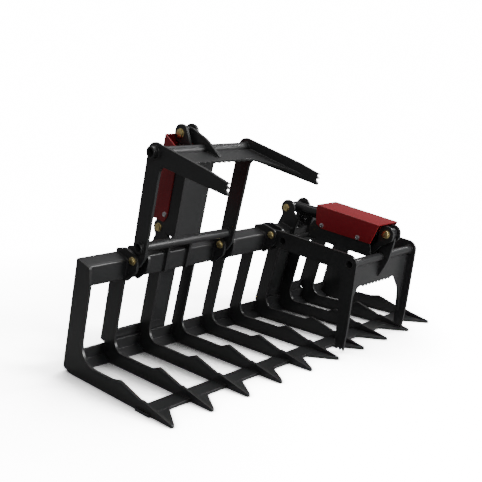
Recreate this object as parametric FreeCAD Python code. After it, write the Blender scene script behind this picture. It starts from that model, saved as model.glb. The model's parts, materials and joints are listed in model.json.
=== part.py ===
import FreeCAD, Part
import math
import os

os.makedirs("parts", exist_ok=True)
Vector = FreeCAD.Vector

# Tine rake
rake_width = 1828.8
plate = 12.7
tine_count = 10
tine_pitch = (rake_width - plate) / (tine_count - 1)
tip_y = -775.0
tip_height = 12.0
bump_y, bump_z = -443.0, 88.0
step_y, step_z, step_rise = -585.0, 47.0, 5.0
bar_front, bar_back = -645.0, -556.0
bar_overhang = 9.0
tooth_root = 80.0

# Upright frame, leaning forward
lean = math.radians(16.5)
beam_depth, beam_height = 88.9, 101.6
beam_wall = 6.35
beam_round = 10.0
beam_front = 76.2
beam_bottom = 463.4
beam_top = beam_bottom + beam_height
beam_back = beam_front - beam_depth
end_front, end_top = 114.3, 569.0
end_shoulder, end_tip = 490.0, 97.0
inner_front = 69.9
deep_rear = -25.4

# Heel of the tines, where the bent plate sits
heel_plate = 9.5
heel_forward, heel_top, heel_crease = 17.3, 97.3, 40.1
heel_front, heel_step = -72.0, 3.5

# Quick-attach plates
attach_inner, attach_outer = 349.0, 504.5
attach_low_top = 142.0
attach_bottom = 72.0
hook_up, hook_reach, hook_thick = 505.0, 38.0, 18.0
slot_width, slot_height = 64.0, 26.0

# Arms: pivot in the lean frame, then arm lengths along and across the leg
pivot_forward, pivot_up = 109.0, 572.4
leg_lean = math.radians(15.58)
swing = math.radians(80.5)
arm_half = 261.25
arm_inset = 219.55
arm_centre = rake_width / 2 - arm_inset - arm_half
leg_back, leg_front = 29.8, -57.6
finger_top, finger_tip = 533.0, 526.0
finger_root, finger_low = 450.0, 478.0
finger_end = -449.0
tooth_deep = 14.0
tube_radius, tube_wall = 21.1, 3.6
collar_radius = 26.0
lower_tube_at, lower_collar = (70.1, -16.9), 12.0
upper_tube_at, upper_collar = (482.3, -16.8), 24.0
skin, skin_top = 9.5, 499.5

# Spine channel and cylinder guard on each arm
spine_half, spine_wall = 76.2, 6.35
spine_web = -8.0
spine_edge = 84.0
guard_wall = 5.0
guard_ridge = [(119.0, 168.0), (507.0, 155.0)]
guard_hem = [(470.0, 52.0), (163.0, 52.0), (128.0, 70.0)]
guard_bolt_at = [(166.0, 68.5), (394.0, 64.5)]

# Pins and running fits
pin = 12.7
running = 0.06
side_gap = 1.0
hub = 27.0
lug_radius = 32.0
lug_pitch = 59.0
sleeve_radius = 20.0
head_high, flange_thick = 8.0, 2.0
base_at = (84.5, 109.0)
rod_at = (523.0, 108.0)
base_lug_inner = 56.0
rod_lug_inner = 22.0

# Hydraulic cylinder
barrel_outer, bore = 30.0, 25.4
rod_radius = 15.9
barrel_start, barrel_end = 24.0, 378.0
gland_length = 26.0
eye_outer = 27.0
eye_width = 76.2
rod_eye_outer = 29.0
rod_eye_width = 42.0
piston_start, piston_length = 48.0, 28.0


def lean_point(forward, up):
    y = -forward * math.cos(lean) - up * math.sin(lean)
    z = -forward * math.sin(lean) + up * math.cos(lean)
    return (y, z)


pivot_y, pivot_z = lean_point(pivot_forward, pivot_up)


def arm_point(along, across):
    y = pivot_y - along * math.sin(leg_lean) + across * math.cos(leg_lean)
    z = pivot_z + along * math.cos(leg_lean) + across * math.sin(leg_lean)
    return (y, z)


def turned(point, angle):
    dy, dz = point[0] - pivot_y, point[1] - pivot_z
    c, s = math.cos(angle), math.sin(angle)
    return (pivot_y + c * dy - s * dz, pivot_z + s * dy + c * dz)


base_y, base_z = arm_point(*base_at)
rod_open = arm_point(*rod_at)
rod_closed = turned(rod_open, swing)


def reach(point):
    return math.hypot(point[0] - base_y, point[1] - base_z)


def pitch_of(point):
    return math.atan2(-(point[0] - base_y), point[1] - base_z)


retracted, extended = reach(rod_open), reach(rod_closed)
pitch_open, pitch_closed = pitch_of(rod_open), pitch_of(rod_closed)


def base_drift(share):
    # Where the base pin lies in the barrel's eye when the cylinder hangs on the rod pin
    y, z = turned((base_y, base_z), -share * swing)
    tilt = pitch_open + share * (pitch_closed - pitch_open - swing)
    length = retracted + share * (extended - retracted)
    dy, dz = y - rod_open[0], z - rod_open[1]
    along = -dy * math.sin(tilt) + dz * math.cos(tilt) + length
    across = -dy * math.cos(tilt) - dz * math.sin(tilt)
    return (along, across)


def outline(points):
    # Closed wire in the YZ plane; a third value rounds that corner
    corners = []
    count = len(points)
    for i in range(count):
        here = Vector(0, points[i][0], points[i][1])
        radius = points[i][2] if len(points[i]) > 2 else 0
        before = Vector(0, *points[i - 1][:2]) - here
        after = Vector(0, *points[(i + 1) % count][:2]) - here
        before.normalize()
        after.normalize()
        if not radius:
            corners.append((here, here, here))
            continue
        half = before.getAngle(after) / 2
        trim = radius / math.tan(half)
        middle = before + after
        middle.normalize()
        centre = here + middle * (radius / math.sin(half))
        corners.append((here + before * trim, centre - middle * radius, here + after * trim))
    edges = []
    for i in range(count):
        start, bend, end = corners[i]
        if (end - start).Length > 1e-6:
            edges.append(Part.Arc(start, bend, end).toShape())
        following = corners[(i + 1) % count][0]
        if (following - end).Length > 1e-6:
            edges.append(Part.makeLine(end, following))
    return Part.Wire(edges)


def slab(points, x, thick):
    solid = Part.Face(outline(points)).extrude(Vector(thick, 0, 0))
    solid.translate(Vector(x, 0, 0))
    return solid


def lean_slab(points, x, thick):
    return slab([lean_point(*p[:2]) + tuple(p[2:]) for p in points], x, thick)


def arm_slab(points, x, thick):
    return slab([arm_point(*p[:2]) + tuple(p[2:]) for p in points], x, thick)


def rod(point, radius, x, length):
    return Part.makeCylinder(radius, length, Vector(x, point[0], point[1]), Vector(1, 0, 0))


def ring(point, outer, inner, x, length):
    return rod(point, outer, x, length).cut(rod(point, inner, x, length))


def hexagon(point, across_flats, x, length):
    corner = across_flats / math.sqrt(3)
    points = []
    for i in range(6):
        angle = math.radians(60 * i + 30)
        points.append((point[0] + corner * math.cos(angle), point[1] + corner * math.sin(angle)))
    return slab(points, x, length)


def bolt(point, radius, x0, x1, flats):
    # Flanged head outside x0, flanged nut outside x1
    flange = flats * 0.62
    body = rod(point, radius, x0, x1 - x0 + flange_thick + head_high + 4.0)
    head = hexagon(point, flats, x0 - flange_thick - head_high, head_high)
    body = body.fuse(head).fuse(rod(point, flange, x0 - flange_thick, flange_thick)).removeSplitter()
    nut = hexagon(point, flats, x1 + flange_thick, head_high).fuse(rod(point, flange, x1, flange_thick))
    return [body, nut.removeSplitter().cut(rod(point, radius, x1, flange_thick + head_high))]


nodes = {}


def save(name, solids):
    if not isinstance(solids, list):
        solids = [solids]
    nodes[name] = solids[0] if len(solids) == 1 else Part.makeCompound(solids)


def moved(solids, x, angle=0.0):
    result = []
    for solid in solids if isinstance(solids, list) else [solids]:
        copy = solid.copy()
        if angle:
            copy.rotate(Vector(0, pivot_y, pivot_z), Vector(1, 0, 0), math.degrees(angle))
        copy.translate(Vector(x, 0, 0))
        result.append(copy)
    return result


def tine_centre(number):
    return -rake_width / 2 + plate / 2 + tine_pitch * number


def tine(number):
    at_end = number in (0, tine_count - 1)
    beside_end = number in (1, tine_count - 2)
    floor = 76.0 if at_end else 66.0
    front = end_front if at_end else (beam_front if beside_end else inner_front)
    rear = deep_rear if beside_end else 0.0
    top = [lean_point(front, beam_bottom), lean_point(rear, beam_bottom)]
    if at_end:
        top = [lean_point(front, end_shoulder), lean_point(end_tip, end_top) + (6,), lean_point(rear, end_top) + (6,)]
    foot = lean_point(front, 0.0)
    slope = math.tan(lean)
    corner_y = foot[0] - (floor - foot[1]) * slope
    points = [(tip_y, 0.0), (tip_y, tip_height, 4), (step_y - step_rise, step_z + step_rise), (step_y, step_z)]
    points += [(bump_y, bump_z, 20), (bump_y + 55.0, floor, 60), (corner_y, floor, 80 if at_end else 55)]
    points += top
    if at_end:
        points += [lean_point(rear, 17.0) + (16,), (heel_front - 3.0, 0.0)]
    else:
        points += [lean_point(rear, heel_top)] + heel_points()
    points += [(bar_back, 0.0), (bar_back, plate), (bar_front, plate), (bar_front, 0.0)]
    return slab(points, tine_centre(number) - plate / 2, plate)


def front_bar():
    length = rake_width + 2 * bar_overhang
    return Part.makeBox(length, bar_back - bar_front, plate, Vector(-length / 2, bar_front, 0))


def tooth_gussets():
    gussets = []
    for number in range(tine_count):
        side = 1 if number < tine_count / 2 else -1
        face = tine_centre(number) + side * plate / 2
        corners = [(0, bar_front), (tooth_root, bar_front), (4.0, tip_y + 4.0), (0, tip_y + 4.0)]
        wire = Part.makePolygon([Vector(face + side * x, y, 0) for x, y in corners + corners[:1]])
        gussets.append(Part.Face(wire).extrude(Vector(0, 0, plate)))
    return gussets


def heel_points():
    # Front face of the bent plate, from its top edge down to the ground
    faces = [lean_point(heel_forward, heel_top), lean_point(heel_forward, heel_crease)]
    return faces + [(heel_front, heel_step), (heel_front, 0.0)]


def heel_cross_plate():
    top, crease, step, foot = heel_points()
    length = math.hypot(crease[0] - step[0], crease[1] - step[1])
    ty, tz = (crease[0] - step[0]) / length, (crease[1] - step[1]) / length
    start = (step[0] + heel_plate * tz, step[1] - heel_plate * ty)
    ground = (start[0] - start[1] * ty / tz, 0.0)
    back = lean_point(heel_forward - heel_plate, 0.0)
    fall = (back[0] - start[0]) * tz - (back[1] - start[1]) * ty
    up = fall / (math.sin(lean) * tz + math.cos(lean) * ty)
    bend = lean_point(heel_forward - heel_plate, up)
    points = [foot, step, crease, top, lean_point(heel_forward - heel_plate, heel_top), bend, ground]
    inside = rake_width - 2 * plate
    return slab(points, -inside / 2, inside)


def beam_block(grow, half):
    depth, height = beam_depth / 2 - grow, beam_height / 2 - grow
    radius = beam_round - grow
    middle, level = (beam_front + beam_back) / 2, (beam_bottom + beam_top) / 2
    corners = [(1, 1), (-1, 1), (-1, -1), (1, -1)]
    points = [(middle + depth * a, level + height * b, radius) for a, b in corners]
    return lean_slab(points, -half, 2 * half)


def top_beam():
    half = rake_width / 2 - plate
    return beam_block(0, half).cut(beam_block(beam_wall, half))


def attach_plate(side):
    inner = tine_centre(8 if side > 0 else 1) * side - plate / 2
    points = [(attach_inner, attach_bottom), (inner, attach_bottom), (inner, attach_low_top)]
    points += [(attach_outer, attach_low_top), (attach_outer, beam_bottom), (attach_inner, beam_bottom)]
    solid_points = []
    for x, up in points:
        y, z = lean_point(0, up)
        solid_points.append(Vector(side * x, y, z))
    wire = Part.makePolygon(solid_points + solid_points[:1])
    back = lean_point(-plate, 0)
    solid = Part.Face(wire).extrude(Vector(0, back[0], back[1]))
    slot_x = side * (attach_inner + attach_outer) / 2
    low = [(-plate - 5, 105.0), (5, 105.0), (5, 105.0 + slot_height), (-plate - 5, 105.0 + slot_height)]
    return solid.cut(lean_slab(low, slot_x - slot_width / 2, slot_width))


def attach_hooks():
    width = attach_outer - attach_inner
    end, half = beam_back - hook_reach, hook_thick / 2
    points = [(beam_back, hook_up), (end, hook_up - hook_reach)]
    points += [(end - half, hook_up - hook_reach + half), (beam_back, hook_up + hook_thick)]
    return [lean_slab(points, x, width) for x in (-attach_outer, attach_inner)]


def hinge_faces():
    faces = []
    for centre in (-arm_centre, arm_centre):
        for edge in (-arm_half, arm_half - plate):
            faces.append(centre + edge)
    return faces


def hinge_lugs():
    points = [(pivot_forward + lug_radius, pivot_up + lug_radius, lug_radius)]
    points += [(40.0, pivot_up + lug_radius, 60), (beam_back, beam_top + 13.0), (beam_back, beam_top - 12.0)]
    points += [(60.0, beam_bottom), (beam_front + 12.0, beam_bottom), (pivot_forward + lug_radius, 530.0, 40)]
    hole = lean_point(pivot_forward, pivot_up)
    lugs = []
    for face in hinge_faces():
        near = face - side_gap - plate
        for x in (near, near + lug_pitch):
            lug = lean_slab(points, x, plate).cut(beam_block(0, rake_width / 2))
            lugs.append(lug.cut(rod(hole, pin, x, plate)))
    return lugs


def pivot_bolts():
    solids = []
    for face in hinge_faces():
        near = face - side_gap - plate
        solids += bolt((pivot_y, pivot_z), pin, near, near + lug_pitch + plate, 30.0)
    return solids


def pivot_sleeves():
    sleeves = []
    length = lug_pitch - 2 * plate - 2 * side_gap
    for face in hinge_faces():
        sleeves.append(ring((pivot_y, pivot_z), sleeve_radius, pin, face + plate + side_gap, length))
    return sleeves


def base_lugs():
    dy, dz = base_y, base_z
    forward = -dy * math.cos(lean) - dz * math.sin(lean)
    up = -dy * math.sin(lean) + dz * math.cos(lean)
    eye = 28.0
    points = [(forward - eye, up + eye, eye - 0.5), (forward + eye, up + eye, eye - 0.5)]
    points += [(beam_front + 16.0, beam_top + 8.0, 20), (beam_front + 16.0, beam_bottom + 10.0)]
    points += [(beam_front - 6.0, beam_bottom), (beam_back, 530.0), (beam_back, beam_top), (forward - eye, up - 10.0)]
    lugs = []
    for centre in (-arm_centre, arm_centre):
        for x in (centre - base_lug_inner - plate, centre + base_lug_inner):
            lug = lean_slab(points, x, plate).cut(beam_block(0, rake_width / 2))
            lugs.append(lug.cut(rod((base_y, base_z), pin, x, plate)))
    return lugs


def base_bolts():
    solids = []
    half = base_lug_inner + plate
    for centre in (-arm_centre, arm_centre):
        solids += bolt((base_y, base_z), pin, centre - half, centre + half, 32.0)
    return solids


def base_spacers():
    sleeves = []
    length = base_lug_inner - eye_width / 2 - 0.5
    for centre in (-arm_centre, arm_centre):
        for x in (centre - base_lug_inner, centre + base_lug_inner - length):
            sleeves.append(ring((base_y, base_z), sleeve_radius, pin, x, length))
    return sleeves


def side_plate(x):
    points = [(-hub, hub, hub - 0.2), (16.0, hub, 10), (40.0, leg_back, 30), (finger_top, leg_back, 48)]
    points += [(finger_top, finger_end + 115.0, 200), (finger_tip, finger_end - 2.0)]
    step = (finger_tip - finger_low) / 5
    for i in range(1, 5):
        across = finger_end + tooth_deep if i % 2 else finger_end - 2.0
        points.append((finger_tip - i * step, across))
    points += [(finger_low, finger_end), (finger_root, leg_front - 2.0, 34), (34.0, leg_front, 30)]
    points += [(-hub, -hub, hub - 0.2)]
    solid = arm_slab(points, x, plate)
    holes = rod((pivot_y, pivot_z), pin + running, x, plate)
    for spot in (lower_tube_at, upper_tube_at):
        holes = holes.fuse(rod(arm_point(*spot), tube_radius, x, plate))
    return solid.cut(holes)


def cross_tube(spot, collar):
    # Flush inside the grapple, with a collar outside the arm's outer plate
    point = arm_point(*spot)
    tube = rod(point, tube_radius, -arm_half - collar, 2 * arm_half + collar)
    tube = tube.fuse(rod(point, collar_radius, -arm_half - collar, collar)).removeSplitter()
    return tube.cut(rod(point, tube_radius - tube_wall, -arm_half - collar, 2 * arm_half + collar))


def tube_blocks():
    reach_x = arm_half + 10
    blocks = [rod(arm_point(*spot), tube_radius, -reach_x, 2 * reach_x) for spot in (lower_tube_at, upper_tube_at)]
    return blocks[0].fuse(blocks[1])


def front_plate():
    half = arm_half - plate
    edge = [(half, -26.0), (half, -430.0), (237.0, -418.0), (219.0, -301.0), (192.0, -239.0), (140.0, -167.0)]
    teeth = 9
    pitch = 252.0 / teeth
    comb = []
    for i in range(teeth):
        left = 126.0 - i * pitch
        comb += [(left, -161.0), (left - pitch / 2, -174.0)]
    comb.append((-126.0, -161.0))
    points = edge + comb + [(-x, across) for x, across in reversed(edge)]
    corners = []
    for x, across in points:
        y, z = arm_point(skin_top, across)
        corners.append(Vector(x, y, z))
    down = Vector(0, skin * math.sin(leg_lean), -skin * math.cos(leg_lean))
    solid = Part.Face(Part.makePolygon(corners + corners[:1])).extrude(down)
    return solid.cut(tube_blocks())


def spine():
    low, high = 82.0, 476.0
    outer = [(low, spine_web - spine_wall), (high, spine_web - spine_wall), (high, 20.0), (455.0, spine_edge, 12)]
    outer += [(110.0, spine_edge, 12), (low, 40.0)]
    inner = [(low - 60, spine_web), (high + 60, spine_web), (high + 60, spine_edge + 60), (low - 60, spine_edge + 60)]
    solid = arm_slab(outer, -spine_half, 2 * spine_half)
    width = spine_half - spine_wall
    solid = solid.cut(arm_slab(inner, -width, 2 * width))
    solid = solid.cut(tube_blocks())
    return solid.cut(guard_bolt_holes())


def guard_bolt_holes():
    holes = []
    for spot in guard_bolt_at:
        holes.append(rod(arm_point(*spot), 6.0, -spine_half - 20, 2 * spine_half + 40))
    return holes[0].fuse(holes[1])


def guard():
    half = spine_half + guard_wall
    side = guard_ridge + [guard_hem[0]] + [guard_hem[1] + (20,), guard_hem[2] + (10,)]
    solid = arm_slab(side, -half, 2 * half)
    (a0, n0), (a1, n1) = guard_ridge
    fall = (n1 - n0) / (a1 - a0)
    top0 = n0 - guard_wall - fall * 100
    top1 = n1 - guard_wall + fall * 100
    inner = [(a0 - 100, top0), (a1 + 100, top1), (a1 + 100, -50.0), (a0 - 100, -50.0)]
    solid = solid.cut(arm_slab(inner, -spine_half, 2 * spine_half))
    return solid.cut(guard_bolt_holes())


def guard_bolts():
    solids = []
    for spot in guard_bolt_at:
        point = arm_point(*spot)
        outer = spine_half + guard_wall
        inner = spine_half - spine_wall
        for side in (-1, 1):
            start = -outer - 6.0 if side < 0 else inner - 6.0
            shank = rod(point, 6.0, start, outer - inner + 12.0)
            head_x = -outer - 7.0 if side < 0 else outer
            nut_x = -inner if side < 0 else inner - 7.0
            solids.append(shank.fuse(hexagon(point, 19.0, head_x, 7.0)).removeSplitter())
            solids.append(hexagon(point, 19.0, nut_x, 7.0).cut(shank))
    return solids


def rod_lugs():
    # Two short lugs on the spine, and a gusset between them down to the front plate
    along, across = rod_at
    eye = 40.0
    points = [(along + eye, across + eye, eye - 1.5), (along - eye, across + eye, eye - 1.5)]
    points += [(along - eye, 62.0, 25), (440.0, 12.0, 8), (440.0, spine_web), (462.0, spine_web)]
    points += [(505.0, 44.0, 30), (along + eye, 84.0, 30)]
    lugs = []
    for x in (-rod_lug_inner - plate, rod_lug_inner):
        lug = arm_slab(points, x, plate).cut(tube_blocks())
        lugs.append(lug.cut(rod(arm_point(*rod_at), pin, x, plate)))
    points = [(skin_top, -24.0), (skin_top, -117.0), (507.0, -117.0, 4), (524.0, -64.0, 60), (541.0, -20.0, 60)]
    points += [(549.0, 30.0, 60), (556.0, 66.0, 30), (556.0, 92.0), (530.0, 92.0), (500.0, 64.0), (474.0, 2.0), (480.0, spine_web)]
    gusset = arm_slab(points, -plate / 2, plate).cut(tube_blocks())
    return lugs + [gusset.cut(rod(arm_point(*rod_at), rod_eye_outer + 3.0, -plate, 2 * plate))]


def rod_bolt():
    half = rod_lug_inner + plate
    return bolt(arm_point(*rod_at), pin, -half, half, 34.0)


def along_cylinder(solid, tilt):
    solid.rotate(Vector(0, 0, 0), Vector(1, 0, 0), math.degrees(tilt))
    solid.translate(Vector(0, base_y, base_z))
    return solid


def upright(radius, start, end):
    return Part.makeCylinder(radius, end - start, Vector(0, 0, start), Vector(0, 0, 1))


def barrel_parts():
    tube = upright(barrel_outer, barrel_start, barrel_end).cut(upright(bore, barrel_start + 14.0, barrel_end))
    tube = tube.cut(base_eye_block())
    inner_end = barrel_end - gland_length
    gland = upright(bore, inner_end, barrel_end).fuse(upright(barrel_outer, barrel_end, barrel_end + 9.0))
    gland = gland.removeSplitter().cut(upright(rod_radius + running, inner_end, barrel_end + 9.0))
    ports = []
    for height in (barrel_start + 30.0, inner_end - 16.0):
        boss = Part.makeCylinder(11.0, barrel_outer + 12.0, Vector(0, 0, height), Vector(0, -1, 0))
        boss = boss.cut(upright(barrel_outer, height - 20, height + 20))
        ports.append(boss.cut(Part.makeCylinder(5.0, 80, Vector(0, 0, height), Vector(0, -1, 0))))
    eye = base_eye_block().cut(drift_slot())
    return {"cylinder_barrel": tube, "cylinder_base_eye": eye, "cylinder_gland": gland, "cylinder_ports": ports}


def drift_slot():
    # Long hole that clears the base pin over the whole swing
    spots = [base_drift(i / 8) for i in range(9)]
    solid = None
    for i in range(8):
        r0 = pin + (0.35 if i == 0 else 0.75)
        r1 = pin + (0.35 if i == 7 else 0.75)
        piece = tapered_link(spots[i], r0, spots[i + 1], r1)
        solid = piece if solid is None else solid.fuse(piece)
    return solid.removeSplitter()


def base_eye_block():
    far = max((base_drift(i / 24) for i in range(25)), key=lambda spot: abs(spot[1]))
    return tapered_link((0, 0), eye_outer, far, eye_outer - 0.1).removeSplitter()


def tapered_link(start, r0, end, r1):
    # Two discs and their outer tangents, in the base eye's own plane
    sy, sz = -start[1], start[0]
    ey, ez = -end[1], end[0]
    length = math.hypot(ey - sy, ez - sz)
    heading = math.atan2(ez - sz, ey - sy)
    spread = math.acos((r0 - r1) / length)
    corners = []
    for (y, z, r), sign in (((sy, sz, r0), 1), ((ey, ez, r1), 1), ((ey, ez, r1), -1), ((sy, sz, r0), -1)):
        angle = heading + sign * spread
        corners.append((y + r * math.cos(angle), z + r * math.sin(angle)))
    solid = slab(corners, -eye_width / 2, eye_width)
    solid = solid.fuse(rod((sy, sz), r0, -eye_width / 2, eye_width))
    return solid.fuse(rod((ey, ez), r1, -eye_width / 2, eye_width))


def rod_parts(length):
    base = length - retracted + piston_start
    centre = (0, length)
    block = rod(centre, rod_eye_outer, -rod_eye_width / 2, rod_eye_width)
    stem = upright(rod_radius, base + piston_length, length - 20.0).cut(block)
    piston = upright(bore - running, base, base + piston_length)
    eye = block.cut(rod(centre, pin + running, -rod_eye_width / 2, rod_eye_width))
    return {"cylinder_rod": stem, "cylinder_piston": piston, "rod_eye": eye}


def save_frame():
    for number in range(tine_count):
        save("tine_%02d" % (number + 1), tine(number))
    save("front_bar", front_bar())
    save("tooth_gussets", tooth_gussets())
    save("heel_cross_plate", heel_cross_plate())
    save("top_beam", top_beam())
    save("quick_attach_plate_left", attach_plate(-1))
    save("quick_attach_plate_right", attach_plate(1))
    save("quick_attach_hooks", attach_hooks())
    save("hinge_lugs", hinge_lugs())
    save("pivot_bolts", pivot_bolts())
    save("pivot_sleeves", pivot_sleeves())
    save("cylinder_base_lugs", base_lugs())
    save("cylinder_base_bolts", base_bolts())
    save("cylinder_base_spacers", base_spacers())


def save_arms():
    pieces = {
        "arm_outer_side_plate": side_plate(-arm_half),
        "arm_inner_side_plate": side_plate(arm_half - plate),
        "arm_lower_tube": cross_tube(lower_tube_at, lower_collar),
        "arm_upper_tube": cross_tube(upper_tube_at, upper_collar),
        "arm_front_plate": front_plate(),
        "arm_spine": spine(),
        "arm_rod_lugs": rod_lugs(),
        "cylinder_guard": guard(),
        "guard_bolts": guard_bolts(),
        "rod_pin_bolt": rod_bolt(),
    }
    for side, x, angle in (("left", -arm_centre, 0.0), ("right", arm_centre, swing)):
        for name, solids in pieces.items():
            if side == "right" and name == "arm_outer_side_plate":
                solids = pieces["arm_inner_side_plate"]
            elif side == "right" and name == "arm_inner_side_plate":
                solids = pieces["arm_outer_side_plate"]
            elif side == "right" and name.endswith("_tube"):
                solids = solids.mirror(Vector(0, 0, 0), Vector(1, 0, 0))
            save(side + "_" + name, moved(solids, x, angle))


def save_cylinders():
    for side, x, tilt, length in (("left", -arm_centre, pitch_open, retracted), ("right", arm_centre, pitch_closed, extended)):
        for name, solids in list(barrel_parts().items()) + list(rod_parts(length).items()):
            group = solids if isinstance(solids, list) else [solids]
            save(side + "_" + name, moved([along_cylinder(s, tilt) for s in group], x))


save_frame()
save_arms()
save_cylinders()

# The row's origin is the middle of the footprint, on the floor
whole = FreeCAD.BoundBox()
for shape in nodes.values():
    whole.add(shape.BoundBox)
shift = Vector(-whole.Center.x, -whole.Center.y, -whole.ZMin)
for name, shape in nodes.items():
    shape.translate(shift)
    shape.exportStep("parts/" + name + ".step")

print("shift", shift.x, shift.y, shift.z)
print("pivot", pivot_y + shift.y, pivot_z, "base", base_y + shift.y, base_z)
print("tilt ratio", (pitch_closed - pitch_open) / swing - 1, "metres per radian", (extended - retracted) / swing / 1000)
print("rod pins", rod_open[0] + shift.y, rod_open[1], rod_closed[0] + shift.y, rod_closed[1])
print("stroke", extended - retracted, "pitches", pitch_open, pitch_closed)
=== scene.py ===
import bpy
import bmesh
import json
import math
from mathutils import Matrix, Vector


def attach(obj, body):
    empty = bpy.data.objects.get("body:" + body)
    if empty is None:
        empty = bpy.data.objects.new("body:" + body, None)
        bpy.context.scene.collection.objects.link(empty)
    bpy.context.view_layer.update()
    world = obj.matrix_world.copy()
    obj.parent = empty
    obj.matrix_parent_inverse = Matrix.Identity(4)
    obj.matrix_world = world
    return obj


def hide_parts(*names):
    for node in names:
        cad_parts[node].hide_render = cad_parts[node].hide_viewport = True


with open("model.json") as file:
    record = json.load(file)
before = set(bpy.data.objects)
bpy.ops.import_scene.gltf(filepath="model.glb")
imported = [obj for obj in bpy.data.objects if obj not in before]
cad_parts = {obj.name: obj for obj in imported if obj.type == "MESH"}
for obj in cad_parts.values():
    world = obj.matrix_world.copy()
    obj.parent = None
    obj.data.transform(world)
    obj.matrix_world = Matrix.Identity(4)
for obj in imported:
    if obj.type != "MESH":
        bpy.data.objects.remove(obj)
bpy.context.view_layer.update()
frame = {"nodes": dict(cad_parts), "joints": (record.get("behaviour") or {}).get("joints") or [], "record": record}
joints = {joint["name"]: joint for joint in frame["joints"]}
slots = {part["node"]: part["material_slot"] for part in frame["record"]["subparts"]}
sides = {"left": -1, "right": 1}
print("frame loaded, nodes:", len(frame["nodes"]))

# Layout of the rake and the arms, in metres
rake = {
    "width": 1.8288, "plate": 0.0127, "tines": 10, "lean": math.radians(16.5),
    "beamFront": 0.0762, "beamBack": -0.0127, "beamBottom": 0.4634, "beamTop": 0.565,
    "beamCorner": 0.010, "tineFront": 0.0699,
    "heelForward": 0.0173, "heelTop": 0.0973, "heelCrease": 0.0401,
    "barFront": -0.645, "barBack": -0.556,
}
arm = {
    "lean": math.radians(15.58), "pivotForward": 0.109, "pivotUp": 0.5724,
    "half": 0.26125, "plate": 0.0127, "sideGap": 0.001, "lugPitch": 0.059,
    "lowerTube": (0.0701, -0.0169), "upperTube": (0.4823, -0.0168), "tubeRadius": 0.0211,
    "collarRadius": 0.026, "skinTop": 0.4995, "skin": 0.0095,
    "spineHalf": 0.0762, "spineWall": 0.00635, "rodLugInner": 0.022, "rodAt": (0.523, 0.108),
    "baseLugInner": 0.056, "baseAt": (0.0845, 0.109), "guardWall": 0.005,
    "guardBolts": [(0.166, 0.0685), (0.394, 0.0645)],
    "tubeRaise": 0.0105, "plateDrop": 0.008, "holeMargin": 0.0006,
    "spineArcEnd": 0.474, "gussetFoot": (0.512, -0.022),
}
pivot = joints["left_arm_swing"]["pos_m"]
armCentre = abs(pivot[0])
swing = math.radians(joints["left_arm_swing"]["range_deg"][1])
leanAway = arm["pivotForward"] * math.cos(rake["lean"])
rake["rear"] = pivot[1] + leanAway + arm["pivotUp"] * math.sin(rake["lean"])
tinePitch = (rake["width"] - rake["plate"]) / (rake["tines"] - 1)
firstTine = -rake["width"] / 2 + rake["plate"] / 2
tineMiddles = [firstTine + tinePitch * i for i in range(rake["tines"])]


def leanPoint(x, forward, up):
    c, s = math.cos(rake["lean"]), math.sin(rake["lean"])
    return Vector((x, rake["rear"] - forward * c - up * s, up * c - forward * s))


def armPoint(side, x, along, across):
    angle = arm["lean"] + (swing if side == "right" else 0)
    c, s = math.cos(angle), math.sin(angle)
    return Vector((x, pivot[1] - along * s + across * c, pivot[2] + along * c + across * s))


def armSpot(side, point):
    angle = arm["lean"] + (swing if side == "right" else 0)
    c, s = math.cos(angle), math.sin(angle)
    y, z = point.y - pivot[1], point.z - pivot[2]
    return z * c - y * s, y * c + z * s


# Shader arithmetic: one wrapped socket, and one method that makes any node
class Wire:
    def __init__(self, surface, socket):
        self.surface, self.socket = surface, socket

    def maths(self, operation, first, second):
        return self.surface.node("ShaderNodeMath", {"operation": operation}, {0: first, 1: second})

    def __add__(self, other):
        return self.maths("ADD", self, other)

    def __sub__(self, other):
        return self.maths("SUBTRACT", self, other)

    def __mul__(self, other):
        return self.maths("MULTIPLY", self, other)

    def __radd__(self, other):
        return self.maths("ADD", other, self)

    def clipped(self, low, high):
        floor = self.maths("MAXIMUM", self, low)
        return self.maths("MINIMUM", floor, high)


class Surface:
    def __init__(self, name, **constants):
        self.material = bpy.data.materials.new(name)
        self.material.use_nodes = True
        self.tree = self.material.node_tree
        self.shader = self.tree.nodes["Principled BSDF"]
        for socketName, value in constants.items():
            self.set(socketName.replace("_", " "), value)
        self.place = self.node("ShaderNodeTexCoord", {}, {}, "Object")

    def feed(self, socket, value):
        if isinstance(value, Wire):
            self.tree.links.new(value.socket, socket)
        else:
            socket.default_value = value

    def set(self, socketName, value):
        self.feed(self.shader.inputs[socketName], value)

    def node(self, kind, settings, inputs, output=0):
        made = self.tree.nodes.new(kind)
        for name, value in settings.items():
            setattr(made, name, value)
        for name, value in inputs.items():
            self.feed(made.inputs[name], value)
        return Wire(self, made.outputs[output])

    def noise(self, scale, detail=2.0, roughness=0.5, stretch=None):
        spot = self.place
        if stretch:
            spot = self.node("ShaderNodeMapping", {}, {"Vector": spot, "Scale": stretch})
        inputs = {"Vector": spot, "Scale": scale, "Detail": detail, "Roughness": roughness}
        return self.node("ShaderNodeTexNoise", {}, inputs)

    def blendColours(self, amount, first, second):
        inputs = {0: amount, 6: (*first, 1), 7: (*second, 1)}
        return self.node("ShaderNodeMix", {"data_type": "RGBA"}, inputs, 2)

    def bump(self, height, strength, distance):
        inputs = {"Height": height, "Strength": strength, "Distance": distance}
        return self.node("ShaderNodeBump", {}, inputs)


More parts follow.
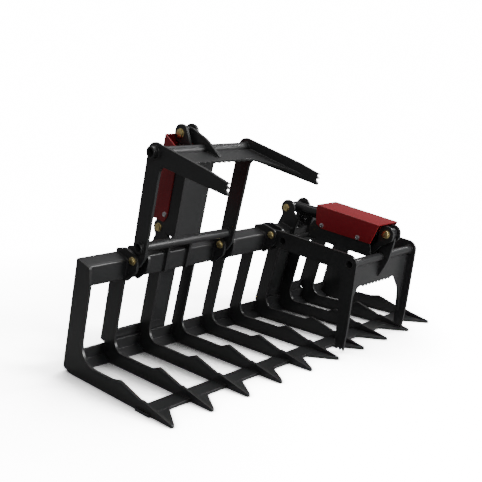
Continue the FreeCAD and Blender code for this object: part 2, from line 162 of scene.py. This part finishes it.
def paint(name, dark, light, gloss, spread, peel, peelScale):
    surface = Surface(name, IOR=1.5)
    cloud = surface.noise(7.0, 4.0)
    patch = surface.noise(38.0, 3.0)
    skin = surface.noise(peelScale, 2.0)
    grit = surface.noise(peelScale * 4, 1.0)
    mottle = (cloud * 0.6 + patch * 0.4).clipped(0, 1)
    surface.set("Base Color", surface.blendColours(mottle, dark, light))
    surface.set("Roughness", gloss + (cloud - 0.5) * spread + (patch - 0.5) * spread * 0.6)
    surface.set("Normal", surface.bump(skin + grit * 0.4, peel, 0.0006))
    return surface.material


def plated(name, colour, other, gloss, spread, streak):
    surface = Surface(name, Metallic=1.0)
    film = surface.noise(60.0, 3.0)
    fine = surface.noise(900.0, 2.0, stretch=streak)
    cover = (film * 1.8 - 0.4).clipped(0, 1)
    surface.set("Base Color", surface.blendColours(cover, colour, other))
    sheen = gloss + (film - 0.5) * spread + (fine - 0.5) * 0.12
    surface.set("Roughness", sheen.clipped(0.03, 1))
    surface.set("Normal", surface.bump(fine, 0.12, 0.0002))
    return surface.material


looks = {
    "black_powder_coat": paint(
        "blackPowderCoat", (0.019, 0.0193, 0.020), (0.027, 0.0273, 0.028), 0.32, 0.10, 0.16, 420.0),
    "red_powder_coat": paint(
        "redPowderCoat", (0.205, 0.004, 0.009), (0.255, 0.007, 0.013), 0.42, 0.08, 0.12, 420.0),
    "black_enamel": paint(
        "blackEnamel", (0.011, 0.011, 0.012), (0.017, 0.017, 0.018), 0.24, 0.08, 0.08, 260.0),
    "yellow_zinc": plated(
        "yellowZinc", (0.88, 0.66, 0.25), (0.76, 0.70, 0.40), 0.30, 0.14, (1, 1, 1)),
    "bright_zinc": plated(
        "brightZinc", (0.76, 0.77, 0.79), (0.62, 0.64, 0.67), 0.26, 0.14, (1, 1, 1)),
    "hard_chrome": plated(
        "hardChrome", (0.86, 0.86, 0.87), (0.80, 0.80, 0.82), 0.08, 0.04, (1, 1, 0.2)),
    "machined_steel": plated(
        "machinedSteel", (0.50, 0.50, 0.51), (0.42, 0.42, 0.43), 0.34, 0.12, (0.1, 1, 1)),
}
print("materials made:", len(looks))


def addPiece(name, bm, body, slotName, smoothAngle=32.0):
    bmesh.ops.recalc_face_normals(bm, faces=bm.faces[:])
    return hangMesh(name, bm, body, slotName, smoothAngle)


def hangMesh(name, bm, body, slotName, smoothAngle):
    for face in bm.faces:
        face.smooth = True
    for edge in bm.edges:
        edge.smooth = edge.calc_face_angle(0.0) < math.radians(smoothAngle)
    mesh = bpy.data.meshes.new(name)
    bm.to_mesh(mesh)
    bm.free()
    piece = bpy.data.objects.new(name, mesh)
    bpy.context.scene.collection.objects.link(piece)
    mesh.materials.append(looks[slotName])
    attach(piece, body)
    return piece


# Every plate, tube and casting gets the softened edges that a coated part has
softening = {
    "plate": 0.0014, "thin": 0.0009, "steps": 2, "angle": 34.0,
    "bend": 0.0045, "bendLength": 0.2, "bendArea": 0.004, "bendAngle": 0.3, "flat": 0.4,
}
detailed = ["pivot_bolts", "cylinder_base_bolts", "cylinder_base_lugs"]
redrawn = ("rod_pin_bolt", "guard_bolts", "cylinder_ports", "cylinder_base_eye", "arm_front_plate")
for side in sides:
    detailed += [side + "_" + name for name in redrawn]


def softenEdges(piece, width):
    soft = piece.modifiers.new("softEdges", "BEVEL")
    soft.width = width
    soft.segments = softening["steps"]
    soft.limit_method = "ANGLE"
    soft.angle_limit = math.radians(softening["angle"])
    soft.harden_normals = True


def roundBends(bm):
    # The folded sheet's long outer bends
    bends = []
    for edge in bm.edges:
        if len(edge.link_faces) != 2 or edge.calc_length() <= softening["bendLength"]:
            continue
        wide = min(face.calc_area() for face in edge.link_faces) > softening["bendArea"]
        if wide and edge.calc_face_angle_signed() > softening["bendAngle"]:
            bends.append(edge)
    bmesh.ops.bevel(
        bm, geom=bends, offset=softening["bend"], segments=4, affect="EDGES", profile=0.5, material=-1)
    print("guard bends rounded:", len(bends))


def nearUpperTube(along, across):
    away = math.hypot(along - arm["upperTube"][0], across - arm["upperTube"][1])
    return away < arm["tubeRadius"] + arm["holeMargin"]


def fitToPhoto(nodeName, bm):
    # The photo shows the upper tube a little higher on the arm, and the front plate lower
    side = nodeName.split("_")[0]
    if side not in sides:
        return
    footAlong, footAcross = arm["gussetFoot"]
    for vert in bm.verts:
        lift = 0.0
        along, across = armSpot(side, vert.co)
        if nodeName.endswith("arm_upper_tube"):
            lift = arm["tubeRaise"]
        elif nodeName.endswith("side_plate") and nearUpperTube(along, across):
            lift = arm["tubeRaise"]
        elif nodeName.endswith("arm_spine") and nearUpperTube(along, across) and along < arm["spineArcEnd"]:
            lift = arm["tubeRaise"]
        elif nodeName.endswith("rod_lugs") and across < footAcross and along < footAlong:
            lift = -arm["plateDrop"]
        if lift:
            vert.co = armPoint(side, vert.co.x, along + lift, across)


def softenNode(nodeName, body):
    bm = bmesh.new()
    bm.from_mesh(frame["nodes"][nodeName].data)
    bmesh.ops.remove_doubles(bm, verts=bm.verts[:], dist=0.000002)
    limit = math.radians(softening["flat"])
    bmesh.ops.dissolve_limit(
        bm, angle_limit=limit, use_dissolve_boundaries=False, verts=bm.verts[:], edges=bm.edges[:])
    fitToPhoto(nodeName, bm)
    if nodeName.endswith("guard"):
        roundBends(bm)
    piece = hangMesh(nodeName + "_finished", bm, body, slots[nodeName], softening["angle"])
    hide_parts(nodeName)
    thin = any(word in nodeName for word in ("gland", "spacer", "sleeve", "spine", "guard", "tube"))
    softenEdges(piece, softening["thin" if thin else "plate"])


bodies = frame["record"]["behaviour"]["bodies"]
for body, members in bodies.items():
    for nodeName in members:
        if nodeName not in detailed:
            softenNode(nodeName, body)
print("plates and tubes finished")


# The arm's front plate, with its row of teeth between the fingers
frontPlate = {
    "rear": -0.034, "end": -0.368, "taper": [(0.236, -0.284), (0.209, -0.222), (0.157, -0.152)],
    "teeth": 9, "combHalf": 0.126, "valley": -0.145, "point": -0.157,
}


def addSlab(bm, nearOutline, farOutline):
    near = [bm.verts.new(point) for point in nearOutline]
    far = [bm.verts.new(point) for point in farOutline]
    bm.faces.new(near)
    bm.faces.new(far[::-1])
    for i in range(len(near)):
        j = (i + 1) % len(near)
        bm.faces.new((near[j], near[i], far[i], far[j]))


def addFrontPlate(side, sign):
    half = arm["half"] - arm["plate"]
    edge = [(half, frontPlate["rear"]), (half, frontPlate["end"])] + frontPlate["taper"]
    comb = []
    pitch = 2 * frontPlate["combHalf"] / frontPlate["teeth"]
    for i in range(frontPlate["teeth"]):
        start = frontPlate["combHalf"] - i * pitch
        comb += [(start, frontPlate["valley"]), (start - pitch / 2, frontPlate["point"])]
    comb.append((-frontPlate["combHalf"], frontPlate["valley"]))
    points = edge + comb + [(-x, across) for x, across in reversed(edge)]
    top = arm["skinTop"] - arm["plateDrop"]
    bm = bmesh.new()
    middle = sign * armCentre
    upper = [armPoint(side, middle + x, top, across) for x, across in points]
    lower = [armPoint(side, middle + x, top - arm["skin"], across) for x, across in points]
    addSlab(bm, upper, lower)
    nodeName = side + "_arm_front_plate"
    piece = addPiece(nodeName + "_finished", bm, side + "_arm", slots[nodeName])
    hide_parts(nodeName)
    softenEdges(piece, softening["plate"])


# The lugs that carry the cylinders' base pins, in forward and up on the leaning frame
baseLug = {
    "ring": 0.046, "ahead": 0.0093, "start": 213, "finish": -5, "steps": 18,
    "rear": [(-0.0127, 0.512), (-0.037, 0.541), (-0.018, 0.614)],
    "front": [(0.058, 0.646), (0.0922, 0.628), (0.0922, 0.4734), (0.0702, 0.4634)],
}


def addBaseLugs():
    spot = armPoint("left", 0, *arm["baseAt"])
    c, s = math.cos(rake["lean"]), math.sin(rake["lean"])
    y = rake["rear"] - spot.y
    forward, up = y * c - spot.z * s + baseLug["ahead"], y * s + spot.z * c
    outline = list(baseLug["rear"])
    start, finish, ring, steps = (baseLug[key] for key in ("start", "finish", "ring", "steps"))
    for i in range(steps + 1):
        angle = math.radians(start + (finish - start) * i / steps)
        outline.append((forward + ring * math.cos(angle), up + ring * math.sin(angle)))
    outline += baseLug["front"]
    bm = bmesh.new()
    for sign in sides.values():
        for inner in (-arm["baseLugInner"] - arm["plate"], arm["baseLugInner"]):
            x = sign * armCentre + inner
            far = [leanPoint(x + arm["plate"], *point) for point in outline]
            addSlab(bm, [leanPoint(x, *point) for point in outline], far)
    piece = addPiece("cylinder_base_lugs_finished", bm, "frame", slots["cylinder_base_lugs"])
    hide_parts("cylinder_base_lugs")
    softenEdges(piece, softening["plate"])


# A thin plate closes each latch slot from the front, so no light shows through it
backing = {"middle": 0.42675, "half": 0.038, "low": 0.099, "high": 0.137, "thick": 0.002,
           "sunk": 0.0002}


def addBackings():
    bm = bmesh.new()
    low, high, half = backing["low"], backing["high"], backing["half"]
    for sign in sides.values():
        x = sign * backing["middle"]
        corners = [(x - half, low), (x + half, low), (x + half, high), (x - half, high)]
        near = [leanPoint(spot, backing["thick"], up) for spot, up in corners]
        addSlab(bm, near, [leanPoint(spot, -backing["sunk"], up) for spot, up in corners])
    addPiece("latch_backings", bm, "frame", "black_powder_coat")


for side, sign in sides.items():
    addFrontPlate(side, sign)
addBaseLugs()
addBackings()


# Turned and hexagonal hardware, built along +Z and then put in place
def lathe(bm, profile, place, steps=32):
    verts = [bm.verts.new((radius, 0, height)) for radius, height in profile]
    edges = [bm.edges.new(pair) for pair in zip(verts, verts[1:])]
    spun = bmesh.ops.spin(
        bm, geom=verts + edges, cent=(0, 0, 0), axis=(0, 0, 1), angle=2 * math.pi, steps=steps, use_merge=True)
    last = [item for item in spun["geom_last"] if isinstance(item, bmesh.types.BMVert)]
    reached = set()
    waiting = list({vert for vert in verts + last if vert.is_valid})
    while waiting:
        vert = waiting.pop()
        if vert in reached:
            continue
        reached.add(vert)
        waiting += [edge.other_vert(vert) for edge in vert.link_edges]
    bmesh.ops.remove_doubles(bm, verts=list(reached), dist=0.00001)
    bmesh.ops.transform(bm, matrix=place, verts=[v for v in reached if v.is_valid])


def hexBlock(bm, flats, low, high, place, chamfer=0.0011):
    made = bmesh.ops.create_cone(
        bm, cap_ends=True, cap_tris=False, segments=6,
        radius1=flats / math.sqrt(3), radius2=flats / math.sqrt(3), depth=high - low,
    )
    verts = made["verts"]
    bmesh.ops.translate(bm, verts=verts, vec=(0, 0, (low + high) / 2))
    around = {edge for vert in verts for edge in vert.link_edges}
    top = [edge for edge in around if all(vert.co.z > high - 0.0001 for vert in edge.verts)]
    cut = bmesh.ops.bevel(
        bm, geom=top, offset=chamfer, segments=2, affect="EDGES", profile=0.5, material=-1)
    verts = list({v for v in verts + cut["verts"] if v.is_valid})
    bmesh.ops.transform(bm, matrix=place, verts=verts)


def threadProfile(radius, low, high, pitch):
    points = []
    height = low
    while height < high - pitch * 0.9:
        points += [(radius, height), (radius - pitch * 0.45, height + pitch * 0.5)]
        height += pitch
    return points + [(radius, height), (radius - pitch * 0.6, high)]


def facing(x, y, z, towards):
    return Matrix.Translation((x, y, z)) @ Matrix.Rotation(math.pi / 2 * towards, 4, "Y")


# Shank radius, width over flats, head and flange heights, thread past the nut, thread pitch
boltSizes = {
    "pivot": (0.0127, 0.030, 0.008, 0.002, 0.004, 0.0022),
    "base": (0.0127, 0.032, 0.008, 0.002, 0.004, 0.0022),
    "rod": (0.0127, 0.034, 0.008, 0.002, 0.004, 0.0022),
    "guard": (0.006, 0.019, 0.0055, 0.0015, 0.0, 0.0015),
}
flangeSpread = 0.62


def addFlangeBolt(bm, x0, x1, y, z, kind):
    # Head outside x0 facing -X, nut outside x1 facing +X
    radius, flats, head, flange, proud, pitch = boltSizes[kind]
    rim = flats * flangeSpread
    for x, towards in ((x0, -1), (x1, 1)):
        place = facing(x, y, z, towards)
        skirt = [(radius * 0.6, 0), (rim, 0), (rim, flange * 0.55), (rim * 0.93, flange)]
        skirt += [(flats * 0.5, flange * 1.35), (radius * 0.6, flange * 1.35), (radius * 0.6, 0)]
        lathe(bm, skirt, place)
        hexBlock(bm, flats, flange * 0.9, flange + head, place)
    crown = flange + head
    dish = [(0, crown - 0.0006), (radius * 0.55, crown - 0.0006), (radius * 0.7, crown + 0.0003)]
    dish += [(radius * 0.78, crown + 0.0002), (radius * 0.8, flange + head * 0.5), (0, flange + head * 0.5)]
    lathe(bm, dish, facing(x0, y, z, -1), 24)
    length = x1 - x0
    shank = [(0, -length), (radius, -length), (radius, 0)]
    shank += threadProfile(radius, 0.0005, flange + head + proud, pitch)
    lathe(bm, shank + [(0, flange + head + proud)], facing(x1, y, z, 1))


def pivotBolts():
    bm = bmesh.new()
    for sign in sides.values():
        for edge in (-arm["half"], arm["half"] - arm["plate"]):
            near = sign * armCentre + edge - arm["sideGap"] - arm["plate"]
            far = near + arm["lugPitch"] + arm["plate"]
            addFlangeBolt(bm, near, far, pivot[1], pivot[2], "pivot")
    piece = addPiece("pivot_bolts_finished", bm, "frame", "yellow_zinc")
    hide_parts("pivot_bolts")


def baseBolts():
    bm = bmesh.new()
    spot = armPoint("left", 0, *arm["baseAt"])
    half = arm["baseLugInner"] + arm["plate"]
    for sign in sides.values():
        middle = sign * armCentre
        addFlangeBolt(bm, middle - half, middle + half, spot.y, spot.z, "base")
    piece = addPiece("cylinder_base_bolts_finished", bm, "frame", "yellow_zinc")
    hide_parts("cylinder_base_bolts")


def armBolts(side, sign):
    middle = sign * armCentre
    half = arm["rodLugInner"] + arm["plate"]
    spot = armPoint(side, 0, *arm["rodAt"])
    bm = bmesh.new()
    addFlangeBolt(bm, middle - half, middle + half, spot.y, spot.z, "rod")
    piece = addPiece(side + "_rod_pin_bolt_finished", bm, side + "_arm", "yellow_zinc")
    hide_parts(side + "_rod_pin_bolt")
    bm = bmesh.new()
    outer = arm["spineHalf"] + arm["guardWall"]
    inner = arm["spineHalf"] - arm["spineWall"]
    for along, across in arm["guardBolts"]:
        spot = armPoint(side, 0, along, across)
        addFlangeBolt(bm, middle - outer, middle - inner, spot.y, spot.z, "guard")
        addFlangeBolt(bm, middle + inner, middle + outer, spot.y, spot.z, "guard")
    piece = addPiece(side + "_guard_bolts_finished", bm, side + "_arm", "bright_zinc")
    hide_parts(side + "_guard_bolts")


pivotBolts()
baseBolts()
for side, sign in sides.items():
    armBolts(side, sign)
print("bolts made")

# Weld beads: a rippled run of weld metal along each seam, coated with the part
weld = {
    "radius": 0.0036, "ripple": 0.0030, "swell": 0.16, "taper": 0.6, "smooth": 75.0,
    "tackUps": (0.0905, 0.0945), "tackRun": (0.001, 0.005, 0.009), "tackSide": 0.6985,
}


def addSeam(curve, points, closed=False):
    spline = curve.splines.new("POLY")
    stations = []
    for start, end in zip(points, points[1:]):
        count = max(1, round((end - start).length / weld["ripple"]))
        stations += [start.lerp(end, i / count) for i in range(count)]
    if not closed:
        stations.append(points[-1])
    spline.points.add(len(stations) - 1)
    for i, spot in enumerate(stations):
        spline.points[i].co = (*spot, 1)
        spline.points[i].radius = 1 + weld["swell"] * (1 if i % 2 else -1)
    if not closed:
        spline.points[0].radius = weld["taper"]
        spline.points[-1].radius = weld["taper"]
    spline.use_cyclic_u = closed


def weldPiece(name, body, seams, rings):
    curve = bpy.data.curves.new(name, "CURVE")
    curve.dimensions = "3D"
    curve.bevel_depth = weld["radius"]
    curve.bevel_resolution = 1
    curve.use_fill_caps = True
    for points in seams:
        addSeam(curve, points)
    for points in rings:
        addSeam(curve, points, True)
    holder = bpy.data.objects.new(name + "Curve", curve)
    mesh = bpy.data.meshes.new_from_object(holder)
    bpy.data.objects.remove(holder)
    bm = bmesh.new()
    bm.from_mesh(mesh)
    bmesh.ops.remove_doubles(bm, verts=bm.verts[:], dist=0.00001)
    addPiece(name, bm, body, "black_powder_coat", weld["smooth"])


def circleAt(middle, radius, steps=24):
    points = []
    for i in range(steps + 1):
        angle = 2 * math.pi * i / steps
        points.append(middle + Vector((0, math.cos(angle), math.sin(angle))) * radius)
    return points


def beamSeam(x):
    # Over the top of the beam and down its front face
    front, back = rake["beamFront"], rake["beamBack"]
    top, bottom, corner = rake["beamTop"], rake["beamBottom"], rake["beamCorner"]
    points = [leanPoint(x, back + corner, top)]
    for i in range(5):
        angle = math.pi / 2 * (1 - i / 4)
        forward = front - corner + corner * math.cos(angle)
        points.append(leanPoint(x, forward, top - corner + corner * math.sin(angle)))
    return points + [leanPoint(x, front, bottom + corner)]


def frameWelds():
    seams = []
    half = rake["plate"] / 2
    bottom, corner = rake["beamBottom"], rake["beamCorner"]
    for i, middle in enumerate(tineMiddles):
        atEnd = i in (0, rake["tines"] - 1)
        inward = 1 if middle < 0 else -1
        faces = [middle + inward * half] if atEnd else [middle - half, middle + half]
        for x in faces:
            if atEnd:
                farEnd = leanPoint(x, rake["beamFront"] - corner, bottom)
                seams.append([leanPoint(x, rake["beamBack"] + corner, bottom), farEnd])
                seams.append(beamSeam(x))
            else:
                farEnd = leanPoint(x, rake["tineFront"] - 0.002, bottom)
                seams.append([leanPoint(x, rake["beamBack"] + 0.01, bottom), farEnd])
            barStart = Vector((x, rake["barFront"] + 0.002 + rake["rear"], rake["plate"]))
            seams.append([barStart, Vector((x, rake["barBack"] - 0.002 + rake["rear"], rake["plate"]))])
            heelTop = leanPoint(x, rake["heelForward"], rake["heelTop"] - 0.003)
            seams.append([heelTop, leanPoint(x, rake["heelForward"], rake["heelCrease"] + 0.001)])
    for sign in sides.values():
        for edge in (-arm["half"], arm["half"] - arm["plate"]):
            near = sign * armCentre + edge - arm["sideGap"] - arm["plate"]
            far = near + arm["lugPitch"]
            for x in (near, near + arm["plate"], far, far + arm["plate"]):
                seams.append(beamSeam(x))
        for inner in (-arm["baseLugInner"] - arm["plate"], arm["baseLugInner"]):
            for x in (inner, inner + arm["plate"]):
                seams.append(beamSeam(sign * armCentre + x))
    # Short tacks that close the corner between each attachment plate, the heel plate and a tine
    for sign in sides.values():
        for up in weld["tackUps"]:
            x = sign * weld["tackSide"]
            seams.append([leanPoint(x, forward, up) for forward in weld["tackRun"]])
    weldPiece("frame_welds", "frame", seams, [])


def armWelds(side, sign):
    middle = sign * armCentre
    half, plate, radius = arm["half"], arm["plate"], arm["tubeRadius"]
    seams, rings = [], []
    raised = (arm["upperTube"][0] + arm["tubeRaise"], arm["upperTube"][1])
    skinTop = arm["skinTop"] - arm["plateDrop"]
    for spot in (arm["lowerTube"], raised):
        for x in (-half + plate, half - plate):
            rings.append(circleAt(armPoint(side, middle + x, *spot), radius + 0.001))
        rings.append(circleAt(armPoint(side, middle + sign * half, *spot), arm["collarRadius"] + 0.0005))
    for x in (-half + plate, half - plate):
        for along in (skinTop, skinTop - arm["skin"]):
            seams.append([armPoint(side, middle + x, along, across) for across in (-0.045, -0.360)])
    for x in (-plate / 2, plate / 2):
        seams.append([armPoint(side, middle + x, skinTop, across) for across in (-0.042, -0.114)])
    spineFoot = arm["lowerTube"][0] + radius + 0.001
    for x in (-arm["spineHalf"], arm["spineHalf"]):
        seams.append([armPoint(side, middle + x, spineFoot, across) for across in (-0.012, 0.002)])
    weldPiece(side + "_arm_welds", side + "_arm", seams, rings)


frameWelds()
for side, sign in sides.items():
    armWelds(side, sign)
print("welds run")

# Port fittings on the barrels: weld-on boss, adapter and an elbow that lies along the barrel
fitting = {
    "barrel": 0.030, "boss": 0.011, "bossEnd": 0.039, "adapter": 0.022, "adapterEnd": 0.048,
    "elbow": 0.0075, "bend": 0.011, "leg": 0.016, "nut": 0.019, "nutLong": 0.011,
    "heights": [(0.054, 1), (0.336, -1)],
}


def cylinderPlace(side, sign):
    # Local +Z runs from the base pin to the rod pin, local -Y points at the arm's web
    base = armPoint("left", sign * armCentre, *arm["baseAt"])
    rodPin = armPoint(side, sign * armCentre, *arm["rodAt"])
    tilt = math.atan2(-(rodPin.y - base.y), rodPin.z - base.z)
    return Matrix.Translation(base) @ Matrix.Rotation(tilt, 4, "X")


def portFittings(side, sign):
    bm = bmesh.new()
    home = cylinderPlace(side, sign)
    for height, heading in fitting["heights"]:
        out = home @ Matrix.Translation((0, 0, height)) @ Matrix.Rotation(math.pi / 2, 4, "X")
        wall, boss, end = fitting["barrel"] - 0.002, fitting["boss"], fitting["bossEnd"]
        collar = [(0, wall), (boss + 0.002, wall), (boss, wall + 0.004), (boss, end - 0.001)]
        lathe(bm, collar + [(boss - 0.001, end), (0, end)], out)
        hexBlock(bm, fitting["adapter"], end - 0.0005, fitting["adapterEnd"], out)
        reach = fitting["adapterEnd"] + fitting["bend"]
        pipe, foot = fitting["elbow"], fitting["adapterEnd"] - 0.001
        stem = [(0, foot), (pipe, foot), (pipe, reach), (pipe * 0.8, reach + pipe * 0.75), (0, reach + pipe)]
        lathe(bm, stem, out, 24)
        along = home @ Matrix.Translation((0, -reach, height))
        if heading < 0:
            along = along @ Matrix.Rotation(math.pi, 4, "X")
        leg, nut = fitting["leg"], fitting["nutLong"]
        arch = [(0, -pipe * 0.9), (pipe * 0.9, -pipe * 0.4), (pipe, 0), (pipe, leg), (0, leg)]
        lathe(bm, arch, along, 24)
        hexBlock(bm, fitting["nut"], leg - 0.0005, leg + nut, along)
        tip = [(0, leg + nut - 0.001), (pipe + 0.0008, leg + nut - 0.001)]
        tip += threadProfile(pipe + 0.0008, leg + nut, leg + nut + 0.009, 0.0016)
        tip += [(pipe - 0.003, leg + nut + 0.009), (pipe - 0.0035, leg + nut + 0.004)]
        tip.append((0, leg + nut + 0.004))
        lathe(bm, tip, along, 24)
    piece = addPiece(side + "_cylinder_ports_finished", bm, side + "_barrel", "black_enamel")
    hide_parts(side + "_cylinder_ports")


# The barrel's base eye: a ring round the base pin, and the neck that carries it
eyeRing = {
    "outer": 0.027, "bore": 0.01276, "half": 0.0381, "edge": 0.0014, "neck": 0.0262, "neckEnd": 0.026,
}


def baseEye(side, sign):
    outer, bore, half, edge = (eyeRing[key] for key in ("outer", "bore", "half", "edge"))
    profile = [(bore, half - edge), (bore + edge, half), (outer - edge, half), (outer, half - edge)]
    profile += [(outer, edge - half), (outer - edge, -half), (bore + edge, -half)]
    profile += [(bore, edge - half), (bore, half - edge)]
    base = armPoint("left", sign * armCentre, *arm["baseAt"])
    bm = bmesh.new()
    lathe(bm, profile, facing(base.x, base.y, base.z, 1), 48)
    neck, start, end = eyeRing["neck"], bore + edge, eyeRing["neckEnd"]
    lathe(bm, [(0, start), (neck, start), (neck, end), (0, end)], cylinderPlace(side, sign), 48)
    piece = addPiece(side + "_cylinder_base_eye_finished", bm, side + "_barrel", "black_enamel")
    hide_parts(side + "_cylinder_base_eye")


for side, sign in sides.items():
    portFittings(side, sign)
    baseEye(side, sign)
print("fittings made")

# Studio: pale floor, soft lights and the camera of the photograph
studio = {
    "floor": 60.0, "paper": (0.27, 0.27, 0.27), "paperLight": (0.30, 0.30, 0.30), "lift": 13.0,
    "fadeStart": 1.1, "fadeLength": 1.6, "room": 0.24, "backdrop": 16.0,
    "shadeReach": 0.7, "shadeDepth": 2.4,
}


def studioFloor():
    bm = bmesh.new()
    bmesh.ops.create_grid(bm, x_segments=1, y_segments=1, size=studio["floor"])
    bmesh.ops.translate(bm, verts=bm.verts[:], vec=(0, 0, -0.0004))
    mesh = bpy.data.meshes.new("studioFloor")
    bm.to_mesh(mesh)
    bm.free()
    floor = bpy.data.objects.new("studioFloor", mesh)
    bpy.context.scene.collection.objects.link(floor)
    surface = Surface("palePaper", Roughness=0.9)
    grain = surface.noise(1.5, 2.0)
    seen = surface.node("ShaderNodeLightPath", {}, {}, "Is Camera Ray")
    tone = surface.blendColours(grain, studio["paper"], studio["paperLight"])
    paper = surface.node("ShaderNodeBsdfDiffuse", {}, {"Color": tone}, "BSDF")
    # Soft contact shade under and round the part
    reach = {"Distance": studio["shadeReach"]}
    shade = surface.node("ShaderNodeAmbientOcclusion", {"samples": 12}, reach, "AO")
    depth = surface.node("ShaderNodeMath", {"operation": "POWER"}, {0: shade, 1: studio["shadeDepth"]})
    level = depth * studio["lift"]
    bright = surface.node("ShaderNodeBsdfDiffuse", {}, {"Color": level}, "BSDF")
    # Far from the part the paper fades into the backdrop
    away = surface.node("ShaderNodeVectorMath", {"operation": "LENGTH"}, {0: surface.place}, "Value")
    fade = ((away - studio["fadeStart"]) * (1 / studio["fadeLength"])).clipped(0, 1)
    glow = surface.node("ShaderNodeEmission", {}, {"Strength": studio["backdrop"]}, "Emission")
    shown = surface.node("ShaderNodeMixShader", {}, {0: fade, 1: bright, 2: glow}, "Shader")
    mixed = surface.node("ShaderNodeMixShader", {}, {0: seen, 1: paper, 2: shown}, "Shader")
    ending = surface.tree.nodes["Material Output"]
    surface.feed(ending.inputs["Surface"], mixed)
    mesh.materials.append(surface.material)


def softLight(name, place, aim, size, power):
    light = bpy.data.lights.new(name, "AREA")
    light.shape = "DISK"
    light.size = size
    light.energy = power
    lamp = bpy.data.objects.new(name, light)
    bpy.context.scene.collection.objects.link(lamp)
    lamp.location = place
    lamp.rotation_euler = (Vector(aim) - Vector(place)).to_track_quat("-Z", "Y").to_euler()


def studioCamera():
    view = {
        "azimuth": -45.1214, "elevation": 13.4889, "roll": 0.8892, "lens": 51.4415,
        "place": (-2.3961, -2.6155, 1.21476), "sideways": 243.608, "down": 260.065, "frame": 482.0,
    }
    a, e, roll = (math.radians(view[key]) for key in ("azimuth", "elevation", "roll"))
    back = Vector((math.sin(a) * math.cos(e), -math.cos(a) * math.cos(e), math.sin(e)))
    level = Vector((math.cos(a), math.sin(a), 0))
    rise = back.cross(level)
    right = level * math.cos(roll) + rise * math.sin(roll)
    up = rise * math.cos(roll) - level * math.sin(roll)
    data = bpy.data.cameras.new("photoCamera")
    data.sensor_width = 36.0
    data.lens = view["lens"]
    data.shift_x = (view["frame"] / 2 - view["sideways"]) / view["frame"]
    data.shift_y = (view["down"] - view["frame"] / 2) / view["frame"]
    data.clip_end = 100.0
    camera = bpy.data.objects.new("photoCamera", data)
    bpy.context.scene.collection.objects.link(camera)
    place = Vector(view["place"]) + Vector((0, rake["rear"], 0))
    turn = Matrix((right, up, back)).transposed().to_4x4()
    camera.matrix_world = Matrix.Translation(place) @ turn
    bpy.context.scene.camera = camera


studioFloor()
softLight("overheadSoftbox", (0.5, 0.5, 4.0), (0, 0, 0.3), 3.0, 55)
softLight("rightSoftbox", (3.9, -1.3, 3.7), (0, 0, 0.4), 1.0, 75)
softLight("leftSoftbox", (-3.2, -3.4, 3.4), (0, 0, 0.5), 1.4, 45)
softLight("frontFill", (1.6, -4.6, 2.2), (0, 0, 0.4), 2.4, 330)
world = bpy.data.worlds.new("paleRoom")
world.use_nodes = True
sky = world.node_tree
room = sky.nodes["Background"]
room.inputs["Color"].default_value = (1, 1, 1, 1)
room.inputs["Strength"].default_value = studio["room"]
backdrop = sky.nodes.new("ShaderNodeBackground")
backdrop.inputs["Color"].default_value = (1, 1, 1, 1)
backdrop.inputs["Strength"].default_value = studio["backdrop"]
lookedAt = sky.nodes.new("ShaderNodeLightPath")
chooser = sky.nodes.new("ShaderNodeMixShader")
sky.links.new(lookedAt.outputs["Is Camera Ray"], chooser.inputs[0])
sky.links.new(room.outputs[0], chooser.inputs[1])
sky.links.new(backdrop.outputs[0], chooser.inputs[2])
sky.links.new(chooser.outputs[0], sky.nodes["World Output"].inputs["Surface"])
bpy.context.scene.world = world
studioCamera()
print("studio set")

bpy.context.view_layer.update()
